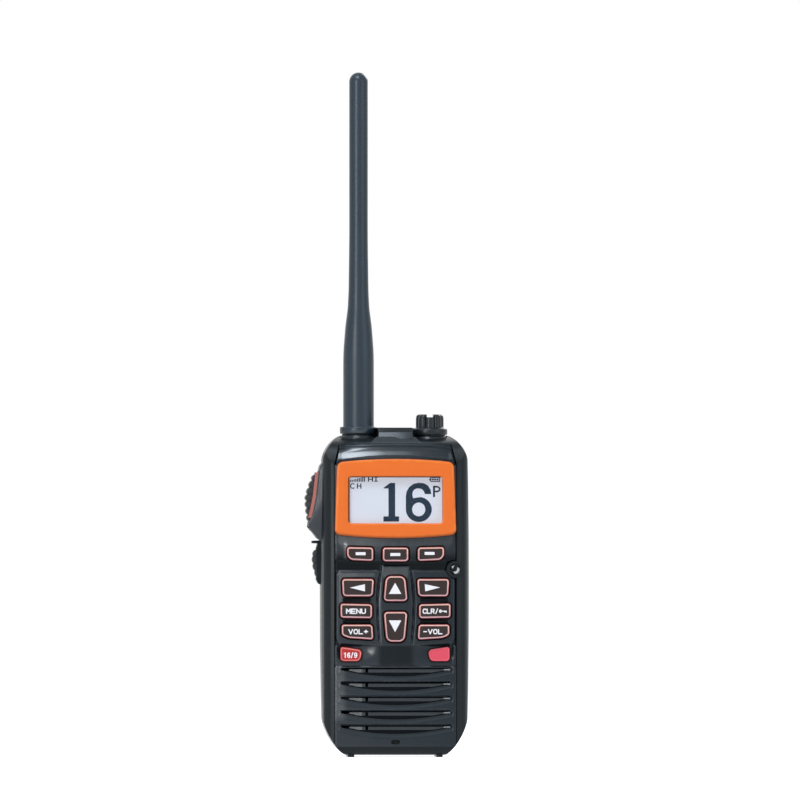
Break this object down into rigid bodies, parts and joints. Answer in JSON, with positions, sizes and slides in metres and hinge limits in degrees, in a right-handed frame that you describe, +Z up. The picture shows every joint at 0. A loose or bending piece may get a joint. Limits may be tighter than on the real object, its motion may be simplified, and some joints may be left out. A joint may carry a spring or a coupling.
{
  "type": "vhf marine radio",
  "caption": "Handheld marine radio with a display, a sprung keypad, a talk button, a screw-in antenna, a jack cap, a battery pack with a latch and a belt clip.",
  "frame": {"origin": "middle of the base, on the face of the foot rails that the radio stands on", "axes": "+Z up along the antenna, -Y out of the front panel, +X to the right of the display"},
  "size_m": [0.0683, 0.0474, 0.2853],
  "materials": {
    "panel_plastic": "satin, fine spark grain",
    "case_plastic": "matt, fine spark grain",
    "orange_plastic": "satin moulded",
    "clear_window": "clear, hard coated",
    "lcd_glass": "pale display",
    "white_plastic": "diffusing",
    "key_plastic": "dark face in a lit salmon rim",
    "red_key_plastic": "red face in a pink rim",
    "pink_key_plastic": "satin",
    "silicone": "matt",
    "seal_rubber": "smooth",
    "antenna_rubber": "smooth, satin",
    "grip_rubber": "ribbed, matt",
    "salmon_plastic": "satin",
    "dome_metal": "film with metal domes",
    "circuit_board": "solder mask",
    "tinned_steel": "tinned",
    "die_cast": "as cast",
    "membrane": "thin acoustic film",
    "speaker_paper": "matt",
    "steel": "plain",
    "spring_steel": "wire",
    "brass": "plated",
    "strobe_clear": "clear dome",
    "led": "phosphor",
    "battery_plastic": "matt, fine grain",
    "cell_foil": "wrapped cell"
  },
  "bodies": {
    "root": {"front_case": "panel_plastic", "rear_case": "case_plastic", "case_gasket": "seal_rubber", "case_screws": "steel", "display_bezel": "orange_plastic", "display_window": "clear_window", "lcd_panel": "lcd_glass", "lcd_backlight": "white_plastic", "keypad_mat": "silicone", "dome_sheet": "dome_metal", "main_board": "circuit_board", "shield_can": "tinned_steel", "heat_spreader": "die_cast", "speaker_membrane": "membrane", "speaker_frame": "steel", "speaker_cone": "speaker_paper", "speaker_magnet": "steel", "microphone": "tinned_steel", "mic_seal": "seal_rubber", "strobe_lens": "strobe_clear", "strobe_ring": "case_plastic", "strobe_led": "led", "antenna_bushing": "case_plastic", "audio_jack": "case_plastic", "ptt_switch": "tinned_steel", "side_switch": "tinned_steel", "radio_contacts": "brass"},
    "soft_key_left_body": {"soft_key_left": "key_plastic"},
    "soft_key_centre_body": {"soft_key_centre": "key_plastic"},
    "soft_key_right_body": {"soft_key_right": "key_plastic"},
    "left_key_body": {"left_key": "key_plastic"},
    "right_key_body": {"right_key": "key_plastic"},
    "up_key_body": {"up_key": "key_plastic"},
    "down_key_body": {"down_key": "key_plastic"},
    "menu_key_body": {"menu_key": "key_plastic"},
    "clear_key_body": {"clear_key": "key_plastic"},
    "volume_up_key_body": {"volume_up_key": "key_plastic"},
    "volume_down_key_body": {"volume_down_key": "key_plastic"},
    "channel_16_key_body": {"channel_16_key": "red_key_plastic"},
    "power_key_body": {"power_key": "pink_key_plastic"},
    "antenna_ring": {"antenna_o_ring": "seal_rubber"},
    "antenna": {"antenna_sheath": "antenna_rubber", "antenna_core": "brass", "antenna_plug": "brass"},
    "cap_ring": {"jack_cap_o_ring": "seal_rubber"},
    "cap": {"jack_cap": "case_plastic"},
    "talk_button": {"ptt_button": "grip_rubber", "ptt_trim": "salmon_plastic"},
    "side_button": {"side_key": "grip_rubber"},
    "battery_pack": {"battery_case": "battery_plastic", "battery_cover": "battery_plastic", "battery_cells": "cell_foil", "battery_terminals": "brass", "latch_spring": "spring_steel", "clip_pin": "steel", "clip_spring": "spring_steel", "clip_bracket": "battery_plastic", "bracket_screws": "steel"},
    "latch": {"battery_latch": "battery_plastic"},
    "clip": {"belt_clip": "battery_plastic"}
  },
  "joints": [
    {"name": "soft_key_left_press", "type": "slide", "parent": "root", "child": "soft_key_left_body", "axis": [0, 1, 0], "range_m": [0, 0.0007], "stiffness_N_per_m": 1800},
    {"name": "soft_key_centre_press", "type": "slide", "parent": "root", "child": "soft_key_centre_body", "axis": [0, 1, 0], "range_m": [0, 0.0007], "stiffness_N_per_m": 1800},
    {"name": "soft_key_right_press", "type": "slide", "parent": "root", "child": "soft_key_right_body", "axis": [0, 1, 0], "range_m": [0, 0.0007], "stiffness_N_per_m": 1800},
    {"name": "left_key_press", "type": "slide", "parent": "root", "child": "left_key_body", "axis": [0, 1, 0], "range_m": [0, 0.0007], "stiffness_N_per_m": 1800},
    {"name": "right_key_press", "type": "slide", "parent": "root", "child": "right_key_body", "axis": [0, 1, 0], "range_m": [0, 0.0007], "stiffness_N_per_m": 1800},
    {"name": "up_key_press", "type": "slide", "parent": "root", "child": "up_key_body", "axis": [0, 1, 0], "range_m": [0, 0.0007], "stiffness_N_per_m": 1800},
    {"name": "down_key_press", "type": "slide", "parent": "root", "child": "down_key_body", "axis": [0, 1, 0], "range_m": [0, 0.0007], "stiffness_N_per_m": 1800},
    {"name": "menu_key_press", "type": "slide", "parent": "root", "child": "menu_key_body", "axis": [0, 1, 0], "range_m": [0, 0.0007], "stiffness_N_per_m": 1800},
    {"name": "clear_key_press", "type": "slide", "parent": "root", "child": "clear_key_body", "axis": [0, 1, 0], "range_m": [0, 0.0007], "stiffness_N_per_m": 1800},
    {"name": "volume_up_key_press", "type": "slide", "parent": "root", "child": "volume_up_key_body", "axis": [0, 1, 0], "range_m": [0, 0.0007], "stiffness_N_per_m": 1800},
    {"name": "volume_down_key_press", "type": "slide", "parent": "root", "child": "volume_down_key_body", "axis": [0, 1, 0], "range_m": [0, 0.0007], "stiffness_N_per_m": 1800},
    {"name": "channel_16_key_press", "type": "slide", "parent": "root", "child": "channel_16_key_body", "axis": [0, 1, 0], "range_m": [0, 0.0007], "stiffness_N_per_m": 1800},
    {"name": "power_key_press", "type": "slide", "parent": "root", "child": "power_key_body", "axis": [0, 1, 0], "range_m": [0, 0.0007], "stiffness_N_per_m": 1800},
    {"name": "ptt_press", "type": "slide", "parent": "root", "child": "talk_button", "axis": [1, 0, 0], "range_m": [0, 0.0012], "stiffness_N_per_m": 2500},
    {"name": "side_key_press", "type": "slide", "parent": "root", "child": "side_button", "axis": [1, 0, 0], "range_m": [0, 0.0008], "stiffness_N_per_m": 2000},
    {"name": "antenna_lift", "type": "slide", "parent": "root", "child": "antenna_ring", "axis": [0, 0, 1], "range_m": [0, 0.0036]},
    {"name": "antenna_turn", "type": "hinge", "parent": "antenna_ring", "child": "antenna", "pos_m": [-0.01485, 0.002, 0.134], "axis": [0, 0, 1], "range_deg": [0, 1800]},
    {"name": "cap_lift", "type": "slide", "parent": "root", "child": "cap_ring", "axis": [0, 0, 1], "range_m": [0, 0.0031]},
    {"name": "cap_turn", "type": "hinge", "parent": "cap_ring", "child": "cap", "pos_m": [0.01485, 0.002, 0.134], "axis": [0, 0, 1], "range_deg": [0, 1080]},
    {"name": "battery_slide", "type": "slide", "parent": "root", "child": "battery_pack", "axis": [0, 1, 0], "range_m": [0, 0.03]},
    {"name": "latch_slide", "type": "slide", "parent": "battery_pack", "child": "latch", "axis": [0, 0, -1], "range_m": [0, 0.0016], "stiffness_N_per_m": 800, "springref_m": -0.0005, "deforming": ["latch_spring"]},
    {"name": "clip_pivot", "type": "hinge", "parent": "battery_pack", "child": "clip", "pos_m": [0, 0.024, 0.076], "axis": [1, 0, 0], "range_deg": [0, 18], "stiffness_Nm_per_rad": 0.25, "springref_deg": -17.19}
  ],
  "couplings": [
    {"joint": "antenna_lift", "follows": "antenna_turn", "m_per_rad": 0.0001123},
    {"joint": "cap_lift", "follows": "cap_turn", "m_per_rad": 0.00015915}
  ]
}
